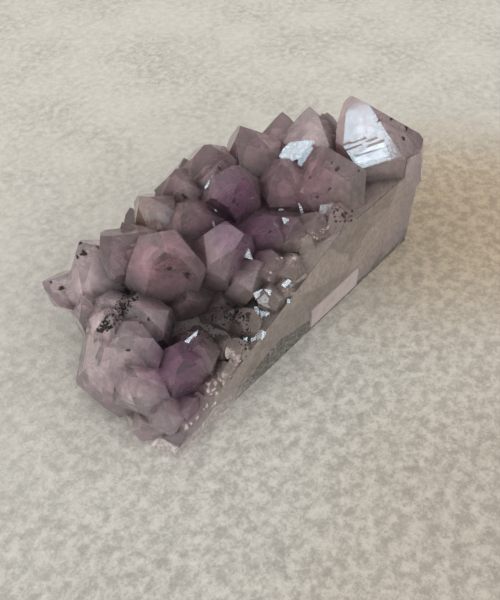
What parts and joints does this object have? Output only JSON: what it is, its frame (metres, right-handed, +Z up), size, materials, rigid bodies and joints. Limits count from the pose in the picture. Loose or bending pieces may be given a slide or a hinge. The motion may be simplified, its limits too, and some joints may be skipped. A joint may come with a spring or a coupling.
{
  "type": "amethyst cluster",
  "caption": "Amethyst hand specimen: purple quartz crystals standing on a pale quartz block with a sawn front face and a thin dark rock rind, resting flat.",
  "frame": {"origin": "on the flat underside, level with the middle of the sawn front face's length and 22 mm behind that face", "axes": "+X runs along the sawn front face, towards the end with the largest crystal; +Y goes from the sawn face to the back; +Z is up"},
  "size_m": [0.1094, 0.0551, 0.05],
  "materials": {
    "amethyst": "natural crystal faces, clear to milky purple quartz with a glassy shine",
    "dark_basalt": "sawn on the front and underside, rough on its other sides",
    "label_paper": "matt white paper, slightly soiled"
  },
  "bodies": {
    "root": {"amethyst_crystals": "amethyst", "basalt_rind": "dark_basalt", "paper_label": "label_paper"}
  },
  "joints": []
}
